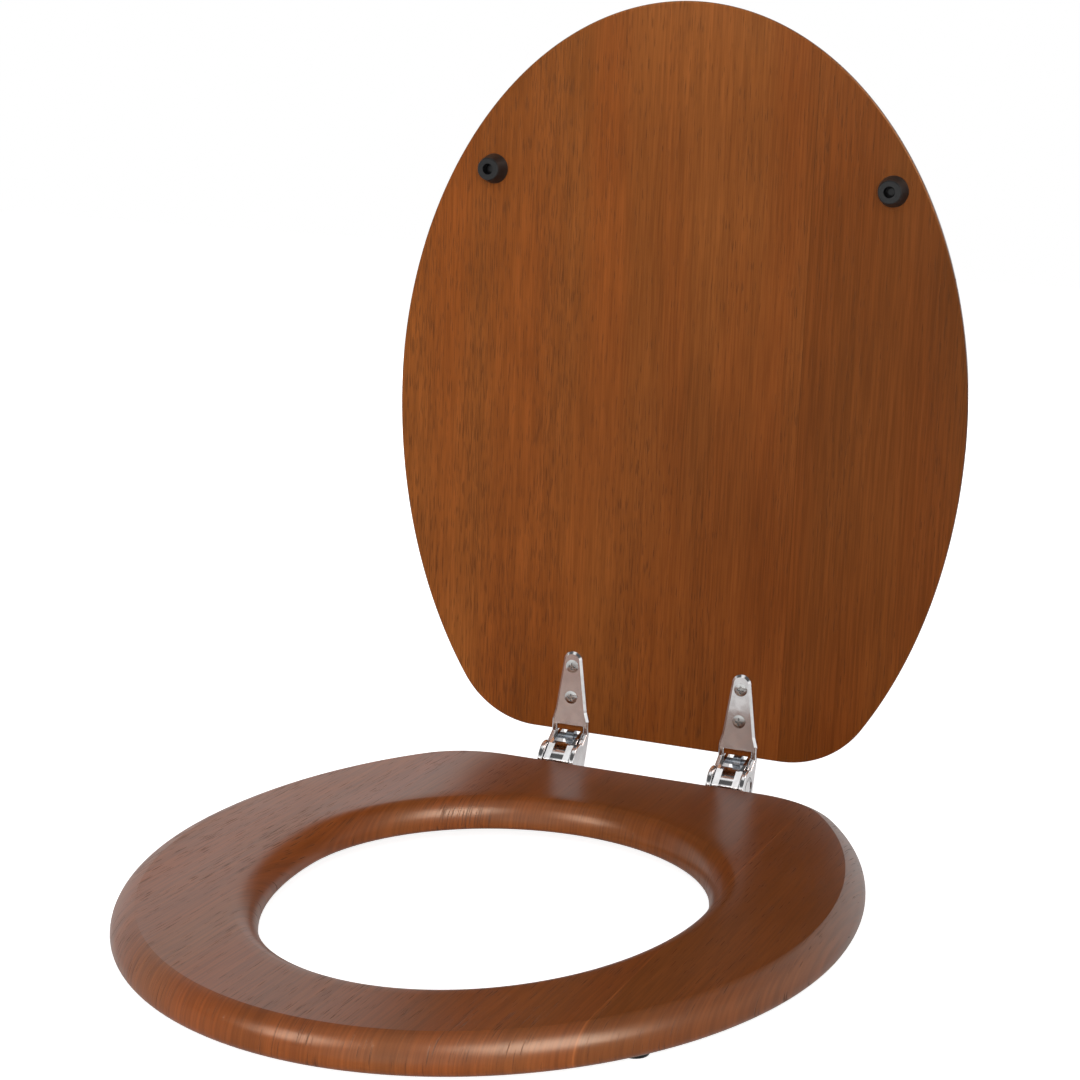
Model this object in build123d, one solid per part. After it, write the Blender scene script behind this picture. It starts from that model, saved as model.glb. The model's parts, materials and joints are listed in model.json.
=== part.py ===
"""Wooden toilet seat with a lid on two chrome two-pin hinges, in millimetres.

Frame: X to the right, Y to the back, Z up. The origin lies on the pan's rim plane, midway between the
two fixing studs. The seat lies flat and the lid stands open, as it is shown. The lid's pieces are drawn
closed on the seat and are then swung open about the hinge pins.
"""
import os
from math import acos, atan2, cos, hypot, radians, sin

from build123d import *

# Seat ring, a flat board cut to a plan of two half ellipses with a straight back edge
SEAT_WIDTH = 365.0
SEAT_NOSE = 243.0
SEAT_TAIL = 266.0
SEAT_BACK = 210.0
SEAT_CORNER_R = 62.0
SEAT_THICK = 17.0
SEAT_TOP_ROUND = 12.5
SEAT_LOWER_ROUND = 4.0

# Opening in the ring
HOLE_WIDTH = 216.0
HOLE_NOSE = 168.0
HOLE_TAIL = 120.5
HOLE_FORWARD = 4.8
HOLE_TOP_ROUND = 13.5
HOLE_LOWER_ROUND = 3.0

# Lid board
LID_WIDTH = 355.5
LID_NOSE = 240.0
LID_TAIL = 261.0
LID_BACK = 207.0
LID_CORNER_R = 58.0
LID_THICK = 16.0
LID_SHOW_ROUND = 11.0
LID_UNDER_ROUND = 2.5
LID_GAP = 10.5
LID_OVERHANG = 1.0
LID_OPEN_DEG = 88.0

# Hinge layout, seen from the side
HINGE_SPACING = 109.0
PIN_BEHIND_SEAT = 15.5
PIN_BELOW_TOP = 6.5
AXLE_BEHIND_PIN = 16.0
AXLE_ABOVE_PIN = 11.5

# Hinge castings
PIN_R = 3.0
PIN_HEAD_R = 5.0
PIN_HEAD_THICK = 1.0
PIN_RECESS_R = 7.5
PIN_RECESS_DEPTH = 1.4
AXLE_R = 2.0
BARREL_R = 7.4
BARREL_WIDTH = 8.2
FLANGE_R = 10.5
FLANGE_THICK = 4.0
FLANGE_FLAT = 8.8
FLANGE_FLAT_DEG = 130.0
WEB_R = 3.0
WEB_TO_EYE = 1.8
LUG_R = 4.0
LUG_THICK = 2.0
LOBE_R = 11.5
LOBE_THICK = 3.5
LOBE_EDGE = 1.2
LOBE_FRONT_DEG = 150.0
LOBE_CROWN_DEG = 75.0
HEEL_DEG = -22.0
LEAF_THICK = 4.0
LEAF_LENGTH = 47.0
LEAF_INSET = 5.0
LEAF_TIP_WIDTH = 12.0
LEAF_ROOT_WIDTH = 20.6
LEAF_SHOULDER = 9.0
LEAF_FLARE = 3.0
LEAF_RIM = 1.4
NECK_CLEAR = 1.0

# Clearances
SIDE_CLEARANCE = 0.4
RUN_CLEARANCE = 0.05
FIT_CLEARANCE = 0.02
SCREW_CLEARANCE = 0.1
BUMPER_CLEARANCE = 0.3

# Eye bolts that fix the seat to the pan
EYE_R = 4.0
EYE_WIDTH = 5.0
STUD_R = 3.0
STUD_DROP = 50.0
STUD_CHAMFER = 1.0
SHANK_R = 2.4
COLLAR_R = 7.0
COLLAR_THICK = 2.0

# Countersunk cross-head screws of the leaves
SCREW_HEAD_R = 3.7
SCREW_R = 1.75
SCREW_LENGTH = 14.5
SCREW_PITCH = 20.0
SCREW_FROM_ROOT = 18.0
CROSS_LENGTH = 4.2
CROSS_WIDTH = 0.9
CROSS_DEPTH = 1.2

# Rubber feet under the seat and bumpers under the lid, each held by a round-head screw
FOOT_HEIGHT = 9.0
FOOT_BASE_R = 9.0
FOOT_TIP_R = 7.4
FOOT_FRONT_INSET = 60.5
FOOT_FRONT_AHEAD = 140.0
FOOT_REAR_INSET = 64.5
FOOT_REAR_BEHIND = 150.0
BUMPER_BASE_R = 9.0
BUMPER_TIP_R = 6.6
BUMPER_INSET = 55.0
BUMPER_SHIFT = 3.0
BUMPER_AHEAD = 138.0
PAD_RECESS_R = 3.3
PAD_FLOOR = 3.2
PAD_EDGE = 1.0
PAD_SCREW_HEAD_R = 2.7
PAD_SCREW_HEAD = 1.8
PAD_SCREW_R = 1.5
PAD_SCREW_BITE = 9.0

# Levels and places that follow from the sizes above
SEAT_UNDER_Z = FOOT_HEIGHT
SEAT_TOP_Z = SEAT_UNDER_Z + SEAT_THICK
LID_UNDER_Z = SEAT_TOP_Z + LID_GAP
PIN_Y = -AXLE_BEHIND_PIN
PIN_Z = SEAT_TOP_Z - PIN_BELOW_TOP
AXLE_Z = PIN_Z + AXLE_ABOVE_PIN
SEAT_BACK_Y = PIN_Y - PIN_BEHIND_SEAT
SEAT_WIDEST_Y = SEAT_BACK_Y - SEAT_BACK
LID_BACK_Y = SEAT_BACK_Y + LID_OVERHANG
LID_WIDEST_Y = LID_BACK_Y - LID_BACK
LEAF_UNDER_Z = SEAT_UNDER_Z - LEAF_THICK
KNUCKLE_HALF = BARREL_WIDTH / 2 + FLANGE_THICK
FORK_INNER = KNUCKLE_HALF + SIDE_CLEARANCE
FORK_OUTER = FORK_INNER + LOBE_THICK
HINGE_AXIS = Axis((0, PIN_Y, PIN_Z), (1, 0, 0))
HINGES = (("left", -1), ("right", 1))


def oval(width, nose, tail):
    """Oval face of two half ellipses that meet on their widest line, at Y 0."""
    front = EllipticalCenterArc((0, 0), width / 2, nose, 180, arc_size=180)
    rear = EllipticalCenterArc((0, 0), width / 2, tail, 0, arc_size=180)
    return make_face([front, rear])


def board(width, nose, tail, back, corner_r, thick):
    """Flat board with an oval plan cut straight at the back, its widest line on Y 0 and its foot on Z 0."""
    reach = nose + back
    plan = oval(width, nose, tail) & Pos(0, back - reach / 2) * Rectangle(width, reach)
    corners = plan.vertices().group_by(Axis.Y)[-1]
    return extrude(fillet(corners, corner_r), thick)


def rim(solid, face_axis):
    """Edges around the outermost flat face of a board along an axis."""
    return solid.faces().filter_by(Plane.XY).sort_by(face_axis)[-1].outer_wire().edges()


def seat_blank():
    """Seat board with its rounded outer edge and its opening, before any screw holes."""
    ring = board(SEAT_WIDTH, SEAT_NOSE, SEAT_TAIL, SEAT_BACK, SEAT_CORNER_R, SEAT_THICK)
    ring = fillet(rim(ring, Axis.Z), SEAT_TOP_ROUND)
    ring = fillet(rim(ring, -Axis.Z), SEAT_LOWER_ROUND)
    ring -= Pos(0, -HOLE_FORWARD, 0) * extrude(oval(HOLE_WIDTH, HOLE_NOSE, HOLE_TAIL), SEAT_THICK)
    upper = ring.faces().filter_by(Plane.XY).sort_by(Axis.Z)[-1]
    ring = fillet(upper.inner_wires()[0].edges(), HOLE_TOP_ROUND)
    lower = ring.faces().filter_by(Plane.XY).sort_by(Axis.Z)[0]
    ring = fillet(lower.inner_wires()[0].edges(), HOLE_LOWER_ROUND)
    return Pos(0, SEAT_WIDEST_Y, SEAT_UNDER_Z) * ring


def lid_blank():
    """Lid board closed on the seat, before any screw holes."""
    lid = board(LID_WIDTH, LID_NOSE, LID_TAIL, LID_BACK, LID_CORNER_R, LID_THICK)
    lid = fillet(rim(lid, Axis.Z), LID_SHOW_ROUND)
    lid = fillet(rim(lid, -Axis.Z), LID_UNDER_ROUND)
    return Pos(0, LID_WIDEST_Y, LID_UNDER_Z) * lid


def leaf(root_y, root_half):
    """Tapered leaf with a round tip, its screw face on Z 0 and its bevelled show face below.

    It tapers to half its root width at the shoulder, then opens to root_half by the start of the flare.
    """
    tip_y = root_y - LEAF_LENGTH
    tip_r = LEAF_TIP_WIDTH / 2
    right = [
        (tip_r, tip_y + tip_r),
        (LEAF_ROOT_WIDTH / 2, root_y - LEAF_SHOULDER),
        (root_half, root_y - LEAF_FLARE),
        (root_half, root_y),
    ]
    left = [(-x, y) for x, y in reversed(right)]
    taper = Polyline(*right, *left)
    end = CenterArc((0, tip_y + tip_r), tip_r, 180, 180)
    plate = extrude(make_face([taper, end]), -LEAF_THICK)
    show = plate.faces().sort_by(Axis.Z)[0]
    sides = show.edges().filter_by(lambda edge: edge.center().Y < root_y)
    return chamfer(sides, LEAF_RIM)


def leaf_screw_places(root_y):
    """Distances along Y of the two screws of a leaf."""
    first = root_y - SCREW_FROM_ROOT
    return (first, first - SCREW_PITCH)


def screw_hole():
    """Clearance hole for a leaf screw, its mouth on Z 0 and the shank upwards."""
    mouth = SCREW_HEAD_R + SCREW_CLEARANCE
    shank = SCREW_R + SCREW_CLEARANCE
    cone = Pos(0, 0, (mouth - shank) / 2) * Cone(mouth, shank, mouth - shank)
    depth = SCREW_LENGTH + SCREW_CLEARANCE
    return cone + Pos(0, 0, depth / 2) * Cylinder(shank, depth)


def leaf_screw():
    """Countersunk screw with a cross slot, its head on Z 0 and the shank upwards."""
    cone_height = SCREW_HEAD_R - SCREW_R
    head = Pos(0, 0, cone_height / 2) * Cone(SCREW_HEAD_R, SCREW_R, cone_height)
    shank = Pos(0, 0, SCREW_LENGTH / 2) * Cylinder(SCREW_R, SCREW_LENGTH)
    slot = Pos(0, 0, CROSS_DEPTH / 2) * Box(CROSS_LENGTH, CROSS_WIDTH, CROSS_DEPTH)
    return head + shank - slot - Rot(0, 0, 90) * slot


def side_plate(profile, inner, thick):
    """Flat plate from a profile drawn in Y and Z, standing between two distances along X."""
    return Pos(inner, 0, 0) * extrude(Plane.YZ * profile, thick)


def disc(radius, y, z):
    """Round profile at a place in Y and Z."""
    return Pos(y, z) * Circle(radius)


def on_circle(radius, y, z, angle):
    """Point in Y and Z on a circle, at an angle in radians from +Y towards +Z."""
    return (y + radius * cos(angle), z + radius * sin(angle))


def belt(radius, y, z, far_radius, far_y, far_z):
    """Profile in Y and Z of two discs and the straight sides that touch both."""
    heading = atan2(far_z - z, far_y - y)
    lean = acos((radius - far_radius) / hypot(far_y - y, far_z - z))
    near = [on_circle(radius, y, z, heading + turn) for turn in (lean, -lean)]
    far = [on_circle(far_radius, far_y, far_z, heading + turn) for turn in (-lean, lean)]
    sides = make_face(Polyline(*near, *far, close=True))
    return sides + disc(radius, y, z) + disc(far_radius, far_y, far_z)


def lid_arm(side):
    """Chrome arm screwed under the lid, with the two outer cheeks of its hinge, drawn closed."""
    root_y = LID_BACK_Y - LEAF_INSET
    leaf_low = LID_UNDER_Z - LEAF_THICK
    flare_y = root_y - LEAF_FLARE
    arm = Pos(0, 0, LID_UNDER_Z) * leaf(root_y, FORK_OUTER)
    front = on_circle(LOBE_R, PIN_Y, PIN_Z, radians(LOBE_FRONT_DEG))
    crown = on_circle(LOBE_R, PIN_Y, PIN_Z, radians(LOBE_CROWN_DEG))
    strap = Polyline(
        (flare_y, LID_UNDER_Z),
        (flare_y, leaf_low),
        (root_y + LEAF_INSET, leaf_low),
        front,
        (PIN_Y, PIN_Z),
        crown,
        (LID_BACK_Y, LID_UNDER_Z),
        close=True,
    )
    profile = make_face(strap) + disc(LOBE_R, PIN_Y, PIN_Z)
    for start in (-FORK_OUTER, FORK_INNER):
        cheek = side_plate(profile, start, LOBE_THICK)
        arm += fillet(cheek.faces().filter_by(Plane.YZ).edges(), LOBE_EDGE)
    bore = side_plate(disc(PIN_R + FIT_CLEARANCE, PIN_Y, PIN_Z), -FORK_OUTER, 2 * FORK_OUTER)
    recess_x = FORK_OUTER - PIN_RECESS_DEPTH
    recess = side_plate(disc(PIN_RECESS_R, PIN_Y, PIN_Z), recess_x, PIN_RECESS_DEPTH)
    arm -= bore + (recess if side > 0 else mirror(recess, Plane.YZ))
    for y in leaf_screw_places(root_y):
        arm -= Pos(0, y, leaf_low) * screw_hole()
    return arm


def web():
    """Profile in Y and Z of the barrel and the web behind it, which stops short of the eye."""
    reach = hypot(AXLE_BEHIND_PIN, AXLE_ABOVE_PIN)
    end = on_circle(reach - EYE_R - WEB_TO_EYE - WEB_R, PIN_Y, PIN_Z, atan2(AXLE_ABOVE_PIN, AXLE_BEHIND_PIN))
    return belt(BARREL_R, PIN_Y, PIN_Z, WEB_R, *end)


def beyond_flat():
    """Profile in Y and Z of what the straight front of the flanges cuts off their discs."""
    middle = on_circle(FLANGE_FLAT + FLANGE_R, PIN_Y, PIN_Z, radians(FLANGE_FLAT_DEG))
    return Pos(*middle) * Rot(0, 0, FLANGE_FLAT_DEG) * Rectangle(2 * FLANGE_R, 2 * FLANGE_R)


def seat_arm():
    """Chrome arm screwed under the seat, with the hinge's inner knuckle and the two lugs of the axle."""
    root_y = SEAT_BACK_Y - LEAF_INSET
    arm = Pos(0, 0, SEAT_UNDER_Z) * leaf(root_y, LEAF_ROOT_WIDTH / 2)
    heel = on_circle(BARREL_R, PIN_Y, PIN_Z, radians(HEEL_DEG))
    neck = Polyline(
        (root_y - LEAF_SHOULDER, LEAF_UNDER_Z),
        (root_y - LEAF_SHOULDER, SEAT_UNDER_Z),
        (SEAT_BACK_Y + NECK_CLEAR, SEAT_UNDER_Z),
        (PIN_Y - BARREL_R, PIN_Z),
        (PIN_Y, PIN_Z),
        heel,
        (PIN_Y, LEAF_UNDER_Z),
        close=True,
    )
    arm += side_plate(make_face(neck) + web(), -KNUCKLE_HALF, 2 * KNUCKLE_HALF)
    lug = belt(FLANGE_R, PIN_Y, PIN_Z, LUG_R, 0, AXLE_Z)
    for start in (-KNUCKLE_HALF, KNUCKLE_HALF - FLANGE_THICK):
        arm += side_plate(disc(FLANGE_R, PIN_Y, PIN_Z), start, FLANGE_THICK)
    for start in (-KNUCKLE_HALF, KNUCKLE_HALF - LUG_THICK):
        arm += side_plate(lug, start, LUG_THICK)
    arm -= side_plate(beyond_flat(), -KNUCKLE_HALF, 2 * KNUCKLE_HALF)
    bores = disc(PIN_R + RUN_CLEARANCE, PIN_Y, PIN_Z) + disc(AXLE_R + FIT_CLEARANCE, 0, AXLE_Z)
    arm -= side_plate(bores, -KNUCKLE_HALF, 2 * KNUCKLE_HALF)
    for y in leaf_screw_places(root_y):
        arm -= Pos(0, y, LEAF_UNDER_Z) * screw_hole()
    return arm


def pivot_pin(side):
    """Hinge pin with a flat head that lies in the recess of the outward cheek."""
    head_x = FORK_OUTER - PIN_RECESS_DEPTH
    pin = side_plate(disc(PIN_R, PIN_Y, PIN_Z), -FORK_OUTER, FORK_OUTER + head_x)
    pin += side_plate(disc(PIN_HEAD_R, PIN_Y, PIN_Z), head_x, PIN_HEAD_THICK)
    return pin if side > 0 else mirror(pin, Plane.YZ)


def post_axle():
    """Plain zinc-plated axle between the two lugs of a seat arm."""
    return side_plate(disc(AXLE_R, 0, AXLE_Z), -KNUCKLE_HALF, 2 * KNUCKLE_HALF)


def eye_bolt():
    """Eye on the axle, its shank and collar on the pan's rim, and its fixing stud down through the pan."""
    stud = Pos(0, 0, -STUD_DROP / 2) * Cylinder(STUD_R, STUD_DROP)
    stud = chamfer(stud.edges().sort_by(Axis.Z)[0], STUD_CHAMFER)
    collar = Pos(0, 0, COLLAR_THICK / 2) * Cylinder(COLLAR_R, COLLAR_THICK)
    shank = Pos(0, 0, AXLE_Z / 2) * Cylinder(SHANK_R, AXLE_Z)
    eye = side_plate(disc(EYE_R, 0, AXLE_Z), -EYE_WIDTH / 2, EYE_WIDTH)
    hole = side_plate(disc(AXLE_R + RUN_CLEARANCE, 0, AXLE_Z), -EYE_R, 2 * EYE_R)
    return eye + shank + collar + stud - hole


def pad(height, base_r, tip_r):
    """Rubber pad with a recess for its screw, its base on Z 0 and its tip below."""
    body = Pos(0, 0, -height / 2) * Cone(tip_r, base_r, height)
    body = fillet(body.edges().sort_by(Axis.Z)[0], PAD_EDGE)
    recess_depth = height - PAD_FLOOR
    body -= Pos(0, 0, -PAD_FLOOR - recess_depth / 2) * Cylinder(PAD_RECESS_R, recess_depth)
    hole = PAD_SCREW_R + SCREW_CLEARANCE
    return body - Pos(0, 0, -PAD_FLOOR / 2) * Cylinder(hole, PAD_FLOOR)


def pad_screw():
    """Round-head screw of a pad, with the pad's base on Z 0."""
    head = Pos(0, 0, -PAD_FLOOR - PAD_SCREW_HEAD / 2) * Cylinder(PAD_SCREW_HEAD_R, PAD_SCREW_HEAD)
    head = fillet(head.edges().sort_by(Axis.Z)[0], PAD_SCREW_HEAD / 2)
    length = PAD_FLOOR + PAD_SCREW_BITE
    return head + Pos(0, 0, length / 2 - PAD_FLOOR) * Cylinder(PAD_SCREW_R, length)


def pad_screw_hole():
    """Hole in the wood for a pad's screw, from Z 0 upwards."""
    depth = PAD_SCREW_BITE + SCREW_CLEARANCE
    return Pos(0, 0, depth / 2) * Cylinder(PAD_SCREW_R + SCREW_CLEARANCE, depth)


def foot_places():
    """Named places of the four feet under the seat."""
    rows = {
        "front": (SEAT_WIDTH / 2 - FOOT_FRONT_INSET, SEAT_WIDEST_Y - FOOT_FRONT_AHEAD),
        "rear": (SEAT_WIDTH / 2 - FOOT_REAR_INSET, SEAT_WIDEST_Y + FOOT_REAR_BEHIND),
    }
    return {
        f"{row}_{name}": Pos(side * x, y, SEAT_UNDER_Z)
        for row, (x, y) in rows.items()
        for name, side in HINGES
    }


def bumper_places():
    """Named places of the two bumpers under the closed lid, set a little to the right of its middle."""
    x = LID_WIDTH / 2 - BUMPER_INSET
    y = LID_WIDEST_Y - BUMPER_AHEAD
    return {name: Pos(side * x + BUMPER_SHIFT, y, LID_UNDER_Z) for name, side in HINGES}


def hinge_place(side):
    """Place of a hinge's middle along X."""
    return Pos(side * HINGE_SPACING / 2, 0, 0)


def seat_pieces():
    """Pieces that swing with the seat."""
    pieces = {}
    ring = seat_blank()
    root_y = SEAT_BACK_Y - LEAF_INSET
    for name, side in HINGES:
        spots = [hinge_place(side) * Pos(0, y, LEAF_UNDER_Z) for y in leaf_screw_places(root_y)]
        ring -= [spot * screw_hole() for spot in spots]
        pieces[f"seat_arm_{name}"] = hinge_place(side) * seat_arm()
        pieces[f"post_axle_{name}"] = hinge_place(side) * post_axle()
        pieces[f"seat_arm_screws_{name}"] = Compound([spot * leaf_screw() for spot in spots])
    for name, place in foot_places().items():
        ring -= place * pad_screw_hole()
        pieces[f"seat_foot_{name}"] = place * pad(FOOT_HEIGHT, FOOT_BASE_R, FOOT_TIP_R)
    pieces["seat_foot_screws"] = Compound([place * pad_screw() for place in foot_places().values()])
    pieces["seat_ring"] = ring
    return pieces


def lid_pieces():
    """Pieces that swing with the lid, opened about the hinge pins."""
    pieces = {}
    lid = lid_blank()
    root_y = LID_BACK_Y - LEAF_INSET
    bumper_height = LID_GAP - BUMPER_CLEARANCE
    for name, side in HINGES:
        head_z = LID_UNDER_Z - LEAF_THICK
        spots = [hinge_place(side) * Pos(0, y, head_z) for y in leaf_screw_places(root_y)]
        lid -= [spot * screw_hole() for spot in spots]
        pieces[f"lid_arm_{name}"] = hinge_place(side) * lid_arm(side)
        pieces[f"pivot_pin_{name}"] = hinge_place(side) * pivot_pin(side)
        pieces[f"lid_arm_screws_{name}"] = Compound([spot * leaf_screw() for spot in spots])
    for name, place in bumper_places().items():
        lid -= place * pad_screw_hole()
        pieces[f"lid_bumper_{name}"] = place * pad(bumper_height, BUMPER_BASE_R, BUMPER_TIP_R)
    pieces["lid_bumper_screws"] = Compound([place * pad_screw() for place in bumper_places().values()])
    pieces["lid_board"] = lid
    return {name: piece.rotate(HINGE_AXIS, -LID_OPEN_DEG) for name, piece in pieces.items()}


def pan_pieces():
    """Eye bolts that stay with the pan."""
    return {f"eye_bolt_{name}": hinge_place(side) * eye_bolt() for name, side in HINGES}


def main():
    """Build every piece and write one file for each."""
    os.makedirs("parts", exist_ok=True)
    for name, piece in (seat_pieces() | lid_pieces() | pan_pieces()).items():
        export_step(piece, f"parts/{name}.step")


if __name__ == "__main__":
    main()
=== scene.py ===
"""Looks of a wooden toilet seat with its lid standing open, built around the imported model.

Units are metres. The frame is the model's own: X to the right, Y to the back, Z up, with the origin on the
pan's rim plane midway between the two fixing studs.
"""
import json
import logging
import math
from dataclasses import dataclass, replace
from enum import Enum
from typing import Any, Sequence

import bpy
import numpy as np
from mathutils import Matrix, Vector


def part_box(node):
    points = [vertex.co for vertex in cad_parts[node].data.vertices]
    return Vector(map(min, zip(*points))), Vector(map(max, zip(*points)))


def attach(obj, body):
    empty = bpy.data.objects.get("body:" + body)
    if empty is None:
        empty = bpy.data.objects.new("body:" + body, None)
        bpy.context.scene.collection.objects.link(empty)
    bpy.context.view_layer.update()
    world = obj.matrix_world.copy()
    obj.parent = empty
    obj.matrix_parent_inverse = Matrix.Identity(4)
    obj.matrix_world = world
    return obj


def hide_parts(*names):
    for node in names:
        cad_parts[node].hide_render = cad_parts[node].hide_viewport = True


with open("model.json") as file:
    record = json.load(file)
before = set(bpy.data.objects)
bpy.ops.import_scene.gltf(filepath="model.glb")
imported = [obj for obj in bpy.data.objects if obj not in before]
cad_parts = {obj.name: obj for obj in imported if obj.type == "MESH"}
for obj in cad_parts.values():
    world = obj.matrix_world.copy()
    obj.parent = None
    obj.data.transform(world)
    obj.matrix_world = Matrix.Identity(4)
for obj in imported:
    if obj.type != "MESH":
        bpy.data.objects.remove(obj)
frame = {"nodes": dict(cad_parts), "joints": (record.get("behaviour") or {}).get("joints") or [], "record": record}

LOG = logging.getLogger("toilet_seat")

Colour = tuple[float, float, float]
Place = tuple[float, float, float]
Pair = tuple[float, float]

WHITE: Colour = (1.0, 1.0, 1.0)
# Values that most of a noise lies between
NOISE_RANGE: Pair = (0.3, 0.7)
# Edges sharper than this stay creased
CREASE_DEG = 10.0

# Driving sizes of the seat and its opening
SEAT_NOSE = 0.243
SEAT_TAIL = 0.266
SEAT_CORNER_R = 0.062
HOLE_WIDTH = 0.216
HOLE_NOSE = 0.168
HOLE_TAIL = 0.1205
HOLE_FORWARD = 0.0048

# Driving sizes of the lid, and its place from the hinge pins when it is closed
LID_NOSE = 0.240
LID_TAIL = 0.261
LID_BACK = 0.207
LID_CORNER_R = 0.058
LID_AHEAD_OF_PINS = 0.0145
LID_ABOVE_PINS = 0.017


class Slot(Enum):
    """Material slots of the record."""

    WOOD = "stained_wood"
    CHROME = "chrome"
    ZINC = "zinc"
    BLACK_STEEL = "black_steel"
    RUBBER = "rubber"


class Body(Enum):
    """Bodies that the new pieces ride on."""

    SEAT = "seat"
    LID = "lid"


class LampRole(Enum):
    """What a lamp does: a fill lights every surface, a sheen shows only as a gleam in the lacquer."""

    FILL = "fill"
    SHEEN = "sheen"


class NodeGraph:
    """Node tree with short calls that add nodes and join them."""

    def __init__(self, tree: bpy.types.NodeTree) -> None:
        """Work on a tree.

        Args:
            tree: The node tree of a material or a world.
        """
        self.tree = tree

    def add(self, kind: str, **settings: Any) -> bpy.types.Node:
        """Add a node and set its plain settings.

        Args:
            kind: Blender's type name of the node.
            settings: Attributes of the node and their values.

        Returns:
            The new node.
        """
        node = self.tree.nodes.new(kind)
        for name, value in settings.items():
            setattr(node, name, value)
        return node

    def feed(self, socket: bpy.types.NodeSocket, value: Any) -> None:
        """Give an input socket a value, or a link where the value is another socket.

        Args:
            socket: The input.
            value: A number, a colour, a vector or an output socket.
        """
        if isinstance(value, bpy.types.NodeSocket):
            self.tree.links.new(value, socket)
        elif isinstance(value, tuple) and len(value) == 3 and socket.type == "RGBA":
            socket.default_value = (*value, 1.0)
        else:
            socket.default_value = value

    def wire(self, kind: str, inputs: dict[Any, Any], output: str, **settings: Any) -> Any:
        """Add a node, feed its inputs and take one of its outputs.

        Args:
            kind: Blender's type name of the node.
            inputs: Names or numbers of inputs and their values.
            output: Name of the output.
            settings: Attributes of the node and their values.

        Returns:
            The output's socket.
        """
        node = self.add(kind, **settings)
        for name, value in inputs.items():
            self.feed(node.inputs[name], value)
        return node.outputs[output]

    def place(self) -> Any:
        """Object coordinates."""
        return self.add("ShaderNodeTexCoord").outputs["Object"]

    def mapped(self, vector: Any, scale: Place = (1.0, 1.0, 1.0), turn: Place = (0.0, 0.0, 0.0)) -> Any:
        """Turn and stretch a vector.

        Args:
            vector: The vector's socket.
            scale: Stretch along X, Y and Z.
            turn: Turn about X, Y and Z in radians.

        Returns:
            The new vector's socket.
        """
        inputs = {"Vector": vector, "Rotation": turn, "Scale": scale}
        return self.wire("ShaderNodeMapping", inputs, "Vector")

    def noise(self, vector: Any, detail: float) -> Any:
        """Smooth noise from 0 to 1 at a scale of one.

        Args:
            vector: Coordinates, already stretched.
            detail: Octaves of the noise.

        Returns:
            The noise's socket.
        """
        return self.wire("ShaderNodeTexNoise", {"Vector": vector, "Scale": 1.0, "Detail": detail}, "Fac")

    def span(self, value: Any, low: float, high: float, start: float = 0.0, end: Any = 1.0) -> Any:
        """Carry a value from one range to another, clamped at its ends.

        Args:
            value: The value's socket.
            low: Value that gives start.
            high: Value that gives end.
            start: Result at low.
            end: Result at high, a number or a socket.

        Returns:
            The result's socket.
        """
        inputs = {"Value": value, "From Min": low, "From Max": high, "To Min": start, "To Max": end}
        return self.wire("ShaderNodeMapRange", inputs, "Result", interpolation_type="SMOOTHSTEP")

    def math(self, operation: str, first: Any, second: Any) -> Any:
        """Arithmetic on two values.

        Args:
            operation: Blender's name of the operation.
            first: First value or socket.
            second: Second value or socket.

        Returns:
            The result's socket.
        """
        return self.wire("ShaderNodeMath", {0: first, 1: second}, "Value", operation=operation)

    def seen(self, path: Any) -> Any:
        """Value that is 1 for rays of the eye, straight or through glass, from a light path's outputs."""
        return self.math("MAXIMUM", path["Is Camera Ray"], path["Is Transmission Ray"])

    def mix(self, share: Any, first: Any, second: Any, blend: str = "MIX") -> Any:
        """Mix two colours.

        Args:
            share: Share of the second colour.
            first: First colour or socket.
            second: Second colour or socket.
            blend: Blender's name of the way to mix.

        Returns:
            The colour's socket.
        """
        node = self.add("ShaderNodeMix", data_type="RGBA", blend_type=blend)
        sockets = {socket.identifier: socket for socket in node.inputs}
        self.feed(sockets["Factor_Float"], share)
        self.feed(sockets["A_Color"], first)
        self.feed(sockets["B_Color"], second)
        results = {socket.identifier: socket for socket in node.outputs}
        return results["Result_Color"]

    def ramp(self, share: Any, stops: Sequence[tuple[float, Colour]], steps: bool = False) -> Any:
        """Colours along a value.

        Args:
            share: The value's socket.
            stops: Places from 0 to 1 and their colours, in order.
            steps: Whether the colours change in steps.

        Returns:
            The colour's socket.
        """
        node = self.add("ShaderNodeValToRGB")
        band = node.color_ramp
        band.interpolation = "CONSTANT" if steps else "EASE"
        while len(band.elements) < len(stops):
            band.elements.new(1.0)
        for element, (position, colour) in zip(band.elements, stops):
            element.position = position
            element.color = (*colour, 1.0)
        self.feed(node.inputs["Fac"], share)
        return node.outputs["Color"]

    def bump(self, height: Any, strength: float, depth: float) -> Any:
        """Bumped normal.

        Args:
            height: The height's socket.
            strength: Share of the bump.
            depth: Depth of the bump in metres.

        Returns:
            The normal's socket.
        """
        inputs = {"Height": height, "Strength": strength, "Distance": depth}
        return self.wire("ShaderNodeBump", inputs, "Normal")


class ShaderGraph(NodeGraph):
    """Graph of a new material that ends in one principled shader."""

    def __init__(self, name: str) -> None:
        """Start a material with a lone principled shader.

        Args:
            name: The material's name.
        """
        self.material = bpy.data.materials.new(name)
        self.material.use_nodes = True
        super().__init__(self.material.node_tree)
        self.tree.nodes.clear()
        self.shader = self.add("ShaderNodeBsdfPrincipled")
        output = self.add("ShaderNodeOutputMaterial")
        self.feed(output.inputs["Surface"], self.shader.outputs["BSDF"])

    def surface(self, **values: Any) -> None:
        """Set inputs of the principled shader.

        Args:
            values: Input names, with underscores for spaces, and their values.
        """
        for name, value in values.items():
            self.feed(self.shader.inputs[name.replace("_", " ")], value)


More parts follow.
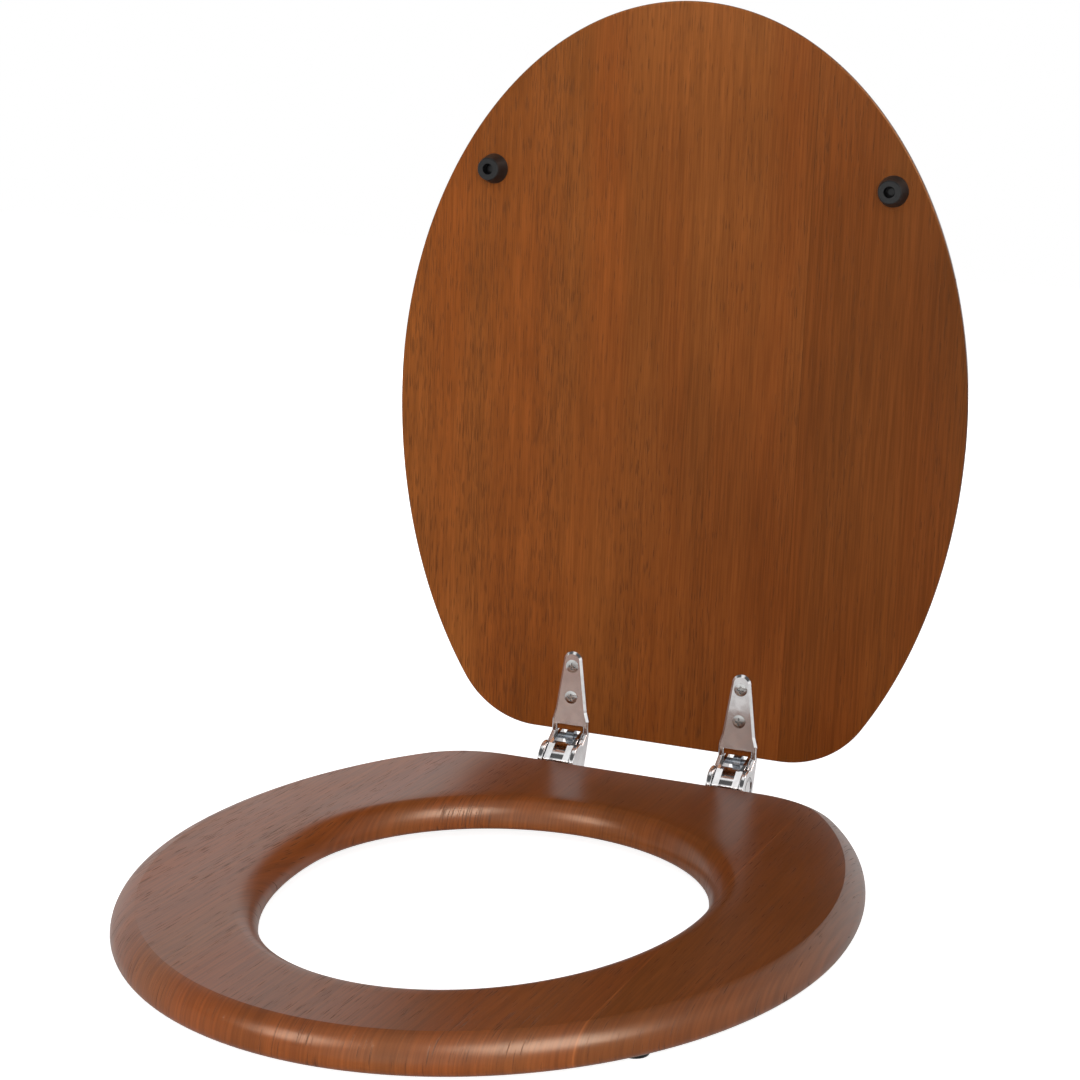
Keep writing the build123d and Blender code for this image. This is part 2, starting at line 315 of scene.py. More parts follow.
@dataclass(frozen=True)
class GrainLayer:
    """One layer of figure in the wood: a noise that tints the stain between two colours.

    Attributes:
        scale: Waves for each metre across, along and through the board.
        detail: Octaves of the noise.
        low: Tint where the noise is low.
        high: Tint where the noise is high.
    """

    scale: Place
    detail: float
    low: Colour
    high: Colour


@dataclass(frozen=True)
class WoodFinish:
    """Edge-glued boards of stained wood under a satin lacquer, with the grain along the board's own Y.

    Attributes:
        name: The material's name.
        width: Width over which the boards are laid.
        joints: Places across the width of the glue joints.
        tones: Tint of each board, one more than the joints.
        lean: Painted light: tints at the left and the right edge, which make one side lighter and the other
            darker.
        glue, glue_half: Tint of the thin glue line at each joint, and half its width.
        turn_deg: Turn about X that lays the piece flat, so that its grain runs along Y.
        deep, middle, pale: Stain from the darkest to the palest bands.
        band_scale, band_stops: Bands for each metre, and noise values of the three stains.
        layers: Finer layers of figure.
        board_shift, board_lift: Reach of the figure's jump at each joint, and its share through the board.
        pore, pore_share: Colour of the pores and its strength.
        pore_scale, pore_limits: Pores for each metre, and noise values where a pore starts and is full.
        pore_rough, pore_bump: Roughness that a pore adds, and strength and depth of its dent.
        crowd_scale, crowd: Patches for each metre in which the pores crowd, and their shift of the noise.
        crowd_lean: The same shift from the left edge to the right.
        lacquer_ior, lacquer_tint: Refraction of the lacquer and tint of its gleam.
        lacquer_rough: Roughness of the lacquer over dark and pale bands.
    """

    name: str
    width: float
    joints: tuple[float, ...]
    tones: tuple[Colour, ...]
    # Painted light across the width: tints at the left and the right edge
    lean: tuple[Colour, Colour] = (WHITE, WHITE)
    glue: tuple[Colour, ...] = ()
    glue_half: float = 0.0003
    turn_deg: float = 0.0
    deep: Colour = (0.128, 0.0335, 0.0072)
    middle: Colour = (0.152, 0.0405, 0.0088)
    pale: Colour = (0.178, 0.0495, 0.0110)
    band_scale: Place = (13.0, 4.5, 5.0)
    band_stops: tuple[float, float, float] = (0.32, 0.50, 0.68)
    layers: tuple[GrainLayer, ...] = (
        GrainLayer((26.0, 2.5, 6.0), 1.0, (1.03, 0.96, 0.90), (0.98, 1.04, 1.09)),
        GrainLayer((190.0, 5.0, 12.0), 3.0, (0.91, 0.90, 0.89), (1.06, 1.06, 1.06)),
        GrainLayer((900.0, 24.0, 26.0), 2.0, (0.82, 0.80, 0.78), (1.14, 1.15, 1.16)),
    )
    board_shift: float = 9.0
    board_lift: float = 0.37
    pore: Colour = (0.040, 0.010, 0.0025)
    pore_share: float = 0.50
    pore_scale: Place = (1500.0, 80.0, 95.0)
    pore_limits: Pair = (0.59, 0.70)
    pore_rough: float = 0.30
    pore_bump: Pair = (0.35, 0.0002)
    crowd_scale: Place = (30.0, 3.5, 10.0)
    crowd: float = 0.05
    crowd_lean: float = 0.0
    lacquer_ior: float = 1.45
    lacquer_tint: Colour = (1.0, 0.70, 0.48)
    lacquer_rough: Pair = (0.29, 0.37)

    def across(self, graph: ShaderGraph, flat: Any) -> Any:
        """Share of the width, from 0 at the left edge to 1 at the right.

        Args:
            graph: The material's graph.
            flat: Coordinates with the grain along Y.

        Returns:
            The share's socket.
        """
        place_x = graph.wire("ShaderNodeSeparateXYZ", {"Vector": flat}, "X")
        inputs = {"Value": place_x, "From Min": -self.width / 2, "From Max": self.width / 2}
        return graph.wire("ShaderNodeMapRange", inputs, "Result")

    def joint_shares(self) -> list[float]:
        """Places of the joints as shares of the width from the left edge."""
        return [joint / self.width + 0.5 for joint in self.joints]

    def boards(self, graph: ShaderGraph, share: Any, colours: Sequence[Colour]) -> Any:
        """Colour of each board, in steps across the width.

        Args:
            graph: The material's graph.
            share: Share of the width.
            colours: One colour for each board.

        Returns:
            The colour's socket.
        """
        return graph.ramp(share, list(zip([0.0, *self.joint_shares()], colours)), steps=True)

    def seams(self, graph: ShaderGraph, share: Any) -> list[Any]:
        """Tints that are white but on one thin glue line each.

        Args:
            graph: The material's graph.
            share: Share of the width.

        Returns:
            The tints' sockets.
        """
        tints = []
        for joint, tint in zip(self.joint_shares(), self.glue):
            inputs = {0: share, 1: joint, 2: self.glue_half / self.width}
            line = graph.wire("ShaderNodeMath", inputs, "Value", operation="COMPARE")
            tints.append(graph.mix(line, WHITE, tint))
        return tints

    def grain(self, graph: ShaderGraph, flat: Any, share: Any) -> Any:
        """Coordinates that jump at each glue joint, so that every board has its own figure.

        Args:
            graph: The material's graph.
            flat: Coordinates with the grain along Y.
            share: Share of the width.

        Returns:
            The coordinates' socket.
        """
        count = len(self.tones)
        shifts = [(index / count, 1.0 - index / count, self.board_lift * index) for index in range(count)]
        jump = graph.mapped(self.boards(graph, share, shifts), scale=(self.board_shift,) * 3)
        return graph.wire("ShaderNodeVectorMath", {0: flat, 1: jump}, "Vector", operation="ADD")

    def material(self) -> bpy.types.Material:
        """Stain in broad bands, tinted by finer figure, by board and by painted light across the width, with dark
        pores under the lacquer.

        Returns:
            The material.
        """
        graph = ShaderGraph(self.name)
        flat = graph.mapped(graph.place(), turn=(math.radians(self.turn_deg), 0.0, 0.0))
        share = self.across(graph, flat)
        grain = self.grain(graph, flat, share)
        band = graph.noise(graph.mapped(grain, self.band_scale), detail=2.0)
        stain = graph.ramp(band, list(zip(self.band_stops, (self.deep, self.middle, self.pale))))
        # Painted light: the lean mix makes the stain lighter towards one side of the width and darker towards the
        # other
        tints = [self.boards(graph, share, self.tones), graph.mix(share, *self.lean)]
        tints += self.seams(graph, share)
        for layer in self.layers:
            figure = graph.noise(graph.mapped(grain, layer.scale), detail=layer.detail)
            tints.append(graph.ramp(figure, list(zip(NOISE_RANGE, (layer.low, layer.high)))))
        for tint in tints:
            stain = graph.mix(1.0, stain, tint, blend="MULTIPLY")
        crowd = graph.noise(graph.mapped(grain, self.crowd_scale), detail=1.0)
        crowd = graph.span(crowd, *NOISE_RANGE, -self.crowd, self.crowd)
        lean = graph.span(share, 0.0, 1.0, self.crowd_lean, -self.crowd_lean)
        depth = graph.noise(graph.mapped(grain, self.pore_scale), detail=1.0)
        depth = graph.math("ADD", graph.math("ADD", depth, crowd), lean)
        low, high = self.pore_limits
        stain = graph.mix(graph.span(depth, low, high, 0.0, self.pore_share), stain, self.pore)
        rough = graph.span(band, *NOISE_RANGE, *self.lacquer_rough)
        rough = graph.math("ADD", rough, graph.span(depth, low, high, 0.0, self.pore_rough))
        graph.surface(
            Base_Color=stain,
            Roughness=rough,
            IOR=self.lacquer_ior,
            Specular_Tint=self.lacquer_tint,
            Normal=graph.bump(graph.span(depth, low, high, 1.0, 0.0), *self.pore_bump),
        )
        return graph.material


@dataclass(frozen=True)
class CloudFinish:
    """Plain surface whose colour and roughness drift in soft clouds, with a fine bump.

    Attributes:
        name: The material's name.
        colours: The two colours of the clouds.
        rough: The two ends of the roughness.
        cloud_scale, cloud_detail: Clouds for each metre and their octaves.
        colour_edges, rough_edges: Noise values between which the colour and the roughness change.
        fine_scale: Waves of the fine noise for each metre along X, Y and Z, or none.
        fine_bump, fine_rough: Strength and depth of its bump, and whether the roughness follows it.
        metallic: Share of metal.
    """

    name: str
    colours: tuple[Colour, Colour]
    rough: Pair
    cloud_scale: float
    cloud_detail: float
    colour_edges: Pair
    rough_edges: Pair = NOISE_RANGE
    fine_scale: Place | None = None
    fine_bump: Pair = (0.0, 0.0)
    fine_rough: bool = False
    metallic: float = 0.0

    def material(self) -> bpy.types.Material:
        """Clouds that mix the colours and the roughness, and a fine noise that bumps the surface.

        Returns:
            The material.
        """
        graph = ShaderGraph(self.name)
        place = graph.place()
        cloud = graph.noise(graph.mapped(place, (self.cloud_scale,) * 3), detail=self.cloud_detail)
        wear = cloud
        if self.fine_scale is not None:
            fine = graph.noise(graph.mapped(place, self.fine_scale), detail=1.0)
            graph.surface(Normal=graph.bump(fine, *self.fine_bump))
            wear = fine if self.fine_rough else cloud
        graph.surface(
            Base_Color=graph.mix(graph.span(cloud, *self.colour_edges), *self.colours),
            Metallic=self.metallic,
            Roughness=graph.span(wear, *self.rough_edges, *self.rough),
        )
        return graph.material


FINISHES: dict[Slot, CloudFinish] = {
    Slot.CHROME: CloudFinish(
        "polished_chrome",
        colours=((0.87, 0.865, 0.87), (0.78, 0.77, 0.775)),
        rough=(0.07, 0.14),
        cloud_scale=160.0, cloud_detail=2.0,
        colour_edges=(0.35, 0.65), rough_edges=(0.35, 0.65),
        fine_scale=(240.0, 240.0, 240.0), fine_bump=(0.02, 0.0004),
        metallic=1.0,
    ),
    Slot.ZINC: CloudFinish(
        "bright_zinc",
        colours=((0.40, 0.45, 0.52), (0.50, 0.52, 0.55)),
        rough=(0.24, 0.38),
        cloud_scale=300.0, cloud_detail=3.0, colour_edges=NOISE_RANGE,
        fine_scale=(4000.0, 300.0, 300.0), fine_bump=(0.15, 0.0001), fine_rough=True,
        metallic=1.0,
    ),
    Slot.BLACK_STEEL: CloudFinish(
        "black_steel",
        colours=((0.0045, 0.0045, 0.0050), (0.0100, 0.0098, 0.0096)),
        rough=(0.38, 0.53),
        cloud_scale=700.0, cloud_detail=3.0, colour_edges=(0.4, 0.7),
    ),
    Slot.RUBBER: CloudFinish(
        "black_rubber",
        colours=((0.0045, 0.0045, 0.0048), (0.0090, 0.0090, 0.0092)),
        rough=(0.44, 0.56),
        cloud_scale=220.0, cloud_detail=3.0, colour_edges=(0.35, 0.7),
        fine_scale=(2600.0, 2600.0, 2600.0), fine_bump=(0.12, 0.0001),
    ),
}
SCREW_FINISH = replace(
    FINISHES[Slot.CHROME],
    name="screw_chrome",
    colours=((0.66, 0.66, 0.65), (0.50, 0.50, 0.49)),
    rough=(0.13, 0.26),
)


def mirror_half(points: np.ndarray, normals: np.ndarray) -> tuple[np.ndarray, np.ndarray]:
    """Complete a symmetric outline from its right half by mirroring it in X.

    Args:
        points: Points in X and Y from the nose round the right side to the back.
        normals: Outward normals at those points.

    Returns:
        Points and normals all the way round.
    """
    flip = np.array([-1.0, 1.0])
    return np.vstack([points, points[::-1] * flip]), np.vstack([normals, normals[::-1] * flip])


@dataclass(frozen=True)
class OvalPlan:
    """Oval of two half ellipses that meet on their widest line.

    Attributes:
        width: Full width.
        nose: Reach of the front half ellipse.
        tail: Reach of the rear half ellipse.
        widest_y: Place of the widest line along Y.
        samples: Points on each quarter.
    """

    width: float
    nose: float
    tail: float
    widest_y: float
    samples: int = 900

    def quarter(self, reach: float, start: float, end: float) -> tuple[np.ndarray, np.ndarray]:
        """Arc of an ellipse: half the width times the cosine, and the reach times the sine, of an angle.

        Args:
            reach: Half axis along Y.
            start: First angle in radians.
            end: Last angle in radians.

        Returns:
            Points about the widest line's middle, and outward unit normals.
        """
        angle = np.linspace(start, end, self.samples)
        half = self.width / 2
        points = np.column_stack([half * np.cos(angle), reach * np.sin(angle)])
        normals = np.column_stack([np.cos(angle) / half, np.sin(angle) / reach])
        return points, normals / np.linalg.norm(normals, axis=1, keepdims=True)

    def right_half(self) -> tuple[np.ndarray, np.ndarray]:
        """Points and normals from the nose round the right side to the back."""
        front = self.quarter(self.nose, -math.pi / 2, 0.0)
        rear = self.quarter(self.tail, 0.0, math.pi / 2)
        return np.vstack([front[0], rear[0]]), np.vstack([front[1], rear[1]])

    def at_angles(self, angles: np.ndarray, centre_y: float) -> tuple[np.ndarray, np.ndarray]:
        """Outline where rays from a point on the middle line meet it.

        Args:
            angles: Ray angles in radians about the point.
            centre_y: Place of the point along Y.

        Returns:
            Points and outward unit normals in X and Y, one row for each angle.
        """
        points, normals = mirror_half(*self.right_half())
        points = points + np.array([0.0, self.widest_y])
        turn = np.arctan2(points[:, 1] - centre_y, points[:, 0])
        table = np.column_stack([points, normals])
        found = [np.interp(angles, turn, column, period=2 * math.pi) for column in table.T]
        return np.column_stack(found[:2]), np.column_stack(found[2:])


@dataclass(frozen=True)
class BoardPlan(OvalPlan):
    """Oval cut straight at the back, with round corners.

    Attributes:
        back: Distance of the straight back from the widest line.
        corner_r: Radius of the two back corners.
    """

    back: float = 0.0
    corner_r: float = 0.0

    def right_half(self) -> tuple[np.ndarray, np.ndarray]:
        """Front quarter, rear arc up to the corner, the corner's arc and half of the straight back.

        The corner's centre lies one corner radius inside both the rear ellipse and the straight back.

        Returns:
            Points and normals from the nose round the right side to the middle of the back.
        """
        front = self.quarter(self.nose, -math.pi / 2, 0.0)
        points, normals = self.quarter(self.tail, 0.0, math.pi / 2)
        inner = points - self.corner_r * normals
        angles = np.linspace(0.0, math.pi / 2, self.samples)
        meet = float(np.interp(self.back - self.corner_r, inner[:, 1], angles))
        rear = self.quarter(self.tail, 0.0, meet)
        heading = math.atan2(rear[1][-1, 1], rear[1][-1, 0])
        turn = np.linspace(heading, math.pi / 2, self.samples)[1:]
        facing = np.column_stack([np.cos(turn), np.sin(turn)])
        corner = rear[0][-1] + self.corner_r * (facing - rear[1][-1])
        run = np.linspace(corner[-1, 0], 0.0, self.samples)[1:-1]
        straight = np.column_stack([run, np.full_like(run, self.back)])
        upright = np.tile([0.0, 1.0], (len(run), 1))
        outline = np.vstack([front[0], rear[0], corner, straight])
        return outline, np.vstack([front[1], rear[1], facing, upright])


def edge_arc(radius: float, level: float, start: float, end: float, steps: int) -> np.ndarray:
    """Round edge in section: the inset is the radius less its cosine part, the height follows the sine.

    Args:
        radius: Radius of the edge.
        level: Height of the arc's centre.
        start: First angle in radians.
        end: Last angle in radians.
        steps: Number of points.

    Returns:
        Rows of inset and height.
    """
    angle = np.linspace(start, end, steps)
    return np.column_stack([radius * (1 - np.cos(angle)), level + radius * np.sin(angle)])


def raise_rows(plan: np.ndarray, normals: np.ndarray, profile: np.ndarray) -> np.ndarray:
    """Carry a profile along an outline: each point moves in along the normal and up to its height.

    Args:
        plan: Outline points in X and Y.
        normals: Normals that point away from the material.
        profile: Rows of inset and height.

    Returns:
        Points in an array of outline by profile by three.
    """
    flat = plan[:, None, :] - normals[:, None, :] * profile[None, :, :1]
    height = np.broadcast_to(profile[None, :, 1:], (*flat.shape[:2], 1))
    return np.concatenate([flat, height], axis=2)


def bridge(first: np.ndarray, last: np.ndarray, steps: int) -> np.ndarray:
    """Straight rows between two rows of points, without the two rows themselves.

    Args:
        first: Points of the first row.
        last: Points of the last row.
        steps: Number of rows between them.

    Returns:
        Points in an array of outline by steps by three.
    """
    share = np.linspace(0.0, 1.0, steps + 2)[1:-1]
    return first[:, None, :] * (1 - share[None, :, None]) + last[:, None, :] * share[None, :, None]


def grid_object(name: str, rows: np.ndarray, poles: Sequence[np.ndarray] = ()) -> bpy.types.Object:
    """Closed mesh from a grid that closes around its first side.

    Without poles the second side closes too, as on a ring. With two poles, the first and last rows
    close on one point each. Faces are turned outwards by the sign of the enclosed volume.

    Args:
        name: Name of the object.
        rows: Points in an array of around by along by three.
        poles: The two end points, or none.

    Returns:
        The object, smooth but for edges sharper than the crease angle.
    """
    around, along = rows.shape[:2]
    number = np.arange(around * along).reshape(around, along)
    beside = np.roll(number, -1, axis=0)
    if poles:
        here, there = number[:, :-1], beside[:, :-1]
        here_next, there_next = number[:, 1:], beside[:, 1:]
    else:
        here, there = number, beside
        here_next, there_next = np.roll(number, -1, axis=1), np.roll(beside, -1, axis=1)
    quads = np.stack([here, there, there_next, here_next], axis=-1).reshape(-1, 4)
    faces = quads.tolist()
    points = rows.reshape(-1, 3)
    for end, pole in enumerate(poles):
        tip = np.full(around, len(points))
        points = np.vstack([points, pole])
        pair = (beside[:, 0], number[:, 0]) if end == 0 else (number[:, -1], beside[:, -1])
        faces += np.stack([*pair, tip], axis=-1).tolist()
    corner = points[quads]
    edges = corner[:, 1:3] - corner[:, :1]
    volume = np.einsum("ij,ij->", corner[:, 0], np.cross(edges[:, 0], edges[:, 1]))
    if volume < 0:
        faces = [face[::-1] for face in faces]
    mesh = bpy.data.meshes.new(name)
    mesh.from_pydata(points.tolist(), [], faces)
    mesh.polygons.foreach_set("use_smooth", np.ones(len(faces), dtype=bool))
    mesh.set_sharp_from_angle(angle=math.radians(CREASE_DEG))
    piece = bpy.data.objects.new(name, mesh)
    bpy.context.scene.collection.objects.link(piece)
    return piece


def join(pieces: Sequence[bpy.types.Object]) -> bpy.types.Object:
    """Join objects into the first of them.

    Args:
        pieces: Objects at the origin.

    Returns:
        The first object, which now holds all the meshes.
    """
    with bpy.context.temp_override(active_object=pieces[0], selected_editable_objects=list(pieces)):
        bpy.ops.object.join()
    return pieces[0]


def dress(piece: bpy.types.Object, material: bpy.types.Material) -> None:
    """Give a piece one material in all its slots."""
    piece.data.materials.clear()
    piece.data.materials.append(material)


def hand_over(piece: bpy.types.Object, node: str, body: Body) -> None:
    """Let a piece stand for a node of the model.

    Args:
        piece: The finished piece.
        node: Node that it replaces.
        body: Body that it rides on.
    """
    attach(piece, body.value)
    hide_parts(node)
    LOG.info("%s: %d vertices on body %s", piece.name, len(piece.data.vertices), body.value)


@dataclass(frozen=True)
class SeatRing:
    """Seat board with its opening, both edges rounded over with a slight crease on the top face.

    Attributes:
        plan: Outline of the board.
        hole: Outline of the opening.
        under_z: Height of the underside.
        top_z: Height of the top face.
        outer_r, outer_stretch: Height of the outer edge's upper round, and its breadth over that height.
        hole_r: Radius of the opening's upper round.
        outer_lower_r, hole_lower_r: Radii of the two edges' lower rounds.
        crease_deg, hole_crease_deg: Angles of the creases above the two edges.
        around, arc_steps, flat_steps: Points round the ring, on each arc and across each flat face.
    """

    plan: BoardPlan
    hole: OvalPlan
    under_z: float
    top_z: float
    outer_r: float = 0.0130
    outer_stretch: float = 1.17
    outer_lower_r: float = 0.0040
    crease_deg: float = 14.0
    hole_r: float = 0.0145
    hole_lower_r: float = 0.0030
    hole_crease_deg: float = 5.0
    around: int = 900
    arc_steps: int = 18
    flat_steps: int = 8

    @classmethod
    def from_frame(cls) -> "SeatRing":
        """Ring that fits the box of its node, with its nose, tail and opening as driving sizes."""
        low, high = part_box("seat_ring")
        widest_y = low.y + SEAT_NOSE
        plan = BoardPlan(
            high.x - low.x, SEAT_NOSE, SEAT_TAIL, widest_y, back=high.y - widest_y, corner_r=SEAT_CORNER_R
        )
        hole = OvalPlan(HOLE_WIDTH, HOLE_NOSE, HOLE_TAIL, widest_y - HOLE_FORWARD)
        return cls(plan, hole, low.z, high.z)

    def profile(self, top_r: float, lower_r: float, crease_deg: float, stretch: float = 1.0) -> np.ndarray:
        """Section of one edge from the underside to the crease.

        The lower quarter circle meets the wall. The upper arc leaves the wall upright and reaches the top
        face one crease angle short of level, so its centre lies the radius times that angle's cosine below.

        Args:
            top_r: Radius of the upper arc.
            lower_r: Radius of the lower arc.
            crease_deg: Angle by which the upper arc falls short of level.
            stretch: Factor on the inset of the upper arc, which makes it broader than high.

        Returns:
            Rows of inset and height.
        """
        crease = math.radians(crease_deg)
        lower = edge_arc(lower_r, self.under_z + lower_r, -math.pi / 2, 0.0, self.arc_steps)
        level = self.top_z - top_r * math.cos(crease)
        upper = edge_arc(top_r, level, 0.0, math.pi / 2 - crease, self.arc_steps)
        upper[:, 0] *= stretch
        return np.vstack([lower, upper])

    def build(self) -> bpy.types.Object:
        """Carry both edge profiles round their outlines and join them by flat rows above and below.

        Returns:
            The ring's object.
        """
        angles = np.linspace(0.0, 2 * math.pi, self.around, endpoint=False)
        centre_y = self.hole.widest_y
        outline, outward = self.plan.at_angles(angles, centre_y)
        opening, into = self.hole.at_angles(angles, centre_y)
        edge = self.profile(self.outer_r, self.outer_lower_r, self.crease_deg, self.outer_stretch)
        hole_edge = self.profile(self.hole_r, self.hole_lower_r, self.hole_crease_deg)
        outer = raise_rows(outline, outward, edge)
        inner = raise_rows(opening, -into, hole_edge[::-1])
        top = bridge(outer[:, -1], inner[:, 0], self.flat_steps)
        under = bridge(inner[:, -1], outer[:, 0], self.flat_steps)
        return grid_object("seat_ring_wood", np.concatenate([outer, top, inner, under], axis=1))


@dataclass(frozen=True)
class LidBoard:
    """Lid board, worked out closed over the seat and then swung open about the hinge pins.

    Attributes:
        plan: Outline of the closed board.
        under_z: Height of the closed board's underside.
        pin_y: Place of the hinge pins along Y.
        pin_z: Height of the hinge pins.
        open_deg: Angle that the lid stands open.
        thick: Thickness of the board.
        show_r, under_r: Radii of the rounds towards the outer face and the underside.
        around, arc_steps: Points round the board and on each arc.
        flat_shares: Rows on each flat face, as shares of the way from its middle to its edge.
    """

    plan: BoardPlan
    under_z: float
    pin_y: float
    pin_z: float
    open_deg: float
    thick: float = 0.016
    show_r: float = 0.0142
    under_r: float = 0.0010
    around: int = 720
    arc_steps: int = 14
    flat_shares: tuple[float, ...] = (0.12, 0.35, 0.6, 0.85)

    @classmethod
    def from_frame(cls) -> "LidBoard":
        """Lid that fits the width of its node and the place and limit of its joint."""
        low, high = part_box("lid_board")
        joint = next(joint for joint in frame["joints"] if joint["name"] == "lid_swing")
        pin_y, pin_z = joint["pos_m"][1:]
        widest_y = pin_y - LID_AHEAD_OF_PINS - LID_BACK
        plan = BoardPlan(high.x - low.x, LID_NOSE, LID_TAIL, widest_y, back=LID_BACK, corner_r=LID_CORNER_R)
        return cls(plan, pin_z + LID_ABOVE_PINS, pin_y, pin_z, -joint["range_deg"][0])

    def swing(self, points: np.ndarray) -> np.ndarray:
        """Turn points about the pins, so that what points up when closed points back when open."""
        angle = math.radians(self.open_deg)
        y, z = points[..., 1] - self.pin_y, points[..., 2] - self.pin_z
        turned_y = self.pin_y + y * math.cos(angle) + z * math.sin(angle)
        turned_z = self.pin_z - y * math.sin(angle) + z * math.cos(angle)
        return np.stack([points[..., 0], turned_y, turned_z], axis=-1)

    def build(self) -> bpy.types.Object:
        """Carry the edge profile round the outline and close both flat faces on a point in their middle.

        Returns:
            The lid's object, open.
        """
        angles = np.linspace(0.0, 2 * math.pi, self.around, endpoint=False)
        centre_y = self.plan.widest_y
        outline, outward = self.plan.at_angles(angles, centre_y)
        top_z = self.under_z + self.thick
        lower = edge_arc(self.under_r, self.under_z + self.under_r, -math.pi / 2, 0.0, self.arc_steps)
        upper = edge_arc(self.show_r, top_z - self.show_r, 0.0, math.pi / 2, self.arc_steps)
        edge = raise_rows(outline, outward, np.vstack([lower, upper]))
        poles = [np.array([0.0, centre_y, self.under_z]), np.array([0.0, centre_y, top_z])]
        shares = np.array(self.flat_shares)[None, :, None]
        under = poles[0] + (edge[:, :1] - poles[0]) * shares
        show = poles[1] + (edge[:, -1:] - poles[1]) * shares[:, ::-1]
        rows = np.concatenate([under, edge, show], axis=1)
        return grid_object("lid_board_wood", self.swing(rows), [self.swing(pole) for pole in poles])


@dataclass(frozen=True)
class LeafScrews:
    """Pair of countersunk screws in one leaf, with domed heads and a cross recess.

    Attributes:
        node: Node that the pair replaces.
        body: Body that it rides on.
        facing: Direction that the heads face.
        along: Direction from one screw to the other.
        pitch, length: Distance between the screws, and their length below the leaf's face.
        head_r, bore_r, shank_r: Radii of the head, of the cone at the leaf's face and of the shank.
        dome: Height of the head's dome.
        cross_reach, cross_half, cross_depth: Half length, half width and depth of the recess's bars.
        cross_soft: Width over which the bars' sides slope.
        around, rings: Points round a screw and rings on its head.
    """

    node: str
    body: Body
    facing: Place
    along: Place
    pitch: float = 0.020
    length: float = 0.0145
    head_r: float = 0.0041
    bore_r: float = 0.0036
    shank_r: float = 0.00175
    dome: float = 0.00055
    cross_reach: float = 0.0021
    cross_half: float = 0.00045
    cross_depth: float = 0.0010
    cross_soft: float = 0.0003
    around: int = 96
    rings: int = 30

    def within(self, value: np.ndarray, limit: float) -> np.ndarray:
        """Share from 0 to 1 by which values lie inside a limit, with a soft step at it."""
        return np.clip((limit - np.abs(value)) / self.cross_soft + 0.5, 0.0, 1.0)

    def head(self, across: np.ndarray, down: np.ndarray) -> np.ndarray:
        """Height of the head: a parabola that falls to its rim, less two soft bars that cross.

        Args:
            across: Distances from the screw's axis along one bar.
            down: Distances along the other bar.

        Returns:
            Heights above the leaf's face.
        """
        first = self.within(across, self.cross_reach) * self.within(down, self.cross_half)
        second = self.within(down, self.cross_reach) * self.within(across, self.cross_half)
        falling = 1 - (across**2 + down**2) / self.head_r**2
        return self.dome * falling - self.cross_depth * np.maximum(first, second)

    def rows(self) -> np.ndarray:
        """One screw about its axis: the head, its rim, the cone in the bore, the shank and its end.

        Returns:
            Points in an array of around by along by three, with the third number along the facing.
        """
        angles = np.linspace(0.0, 2 * math.pi, self.around, endpoint=False)
        spread = np.linspace(0.0, self.head_r, self.rings + 1)[1:]
        radii = np.concatenate([spread, [self.bore_r, self.shank_r, self.shank_r]])
        across = np.cos(angles)[:, None] * radii
        down = np.sin(angles)[:, None] * radii
        height = self.head(across, down)
        height[:, -3] = 0.0
        height[:, -2] = self.shank_r - self.bore_r
        height[:, -1] = -self.length
        return np.stack([across, down, height], axis=-1)

    def build(self) -> bpy.types.Object:
        """Set the screw twice about the middle of the node's box, and join the two.

        Returns:
            The pair's object.
        """
        low, high = (np.array(corner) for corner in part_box(self.node))
        facing, along = np.array(self.facing), np.array(self.along)
        axes = np.stack([np.cross(along, facing), along, facing])
        middle = (low + high) / 2 + facing * self.length / 2
        local = self.rows()
        poles = np.array([[0.0, 0.0, self.dome - self.cross_depth], [0.0, 0.0, -self.length]])
        pair = [
            grid_object(f"{self.node}_heads", local @ axes + place, list(poles @ axes + place))
            for place in (middle + along * self.pitch / 2, middle - along * self.pitch / 2)
        ]
        return join(pair)


@dataclass(frozen=True)
class Fittings:
    """Hinges, fixings and rubber of the model, which keep their own meshes but for the leaf screws.

    Attributes:
        finishes: Finish of each slot.
        screws: Pairs of leaf screws.
        screw_finish: Finish of those screws.
    """

    finishes: dict[Slot, CloudFinish]
    screws: tuple[LeafScrews, ...]
    screw_finish: CloudFinish

    def dress(self) -> None:
        """Give every node of a slot its finish, and put finer screws in place of the model's."""
        made = {slot: finish.material() for slot, finish in self.finishes.items()}
        for part in frame["record"]["subparts"]:
            slot = Slot(part["material_slot"])
            if slot in made:
                dress(frame["nodes"][part["node"]], made[slot])
                LOG.info("%s: %s", part["node"], slot.value)
        duller = self.screw_finish.material()
        for pair in self.screws:
            piece = pair.build()
            dress(piece, duller)
            hand_over(piece, pair.node, pair.body)


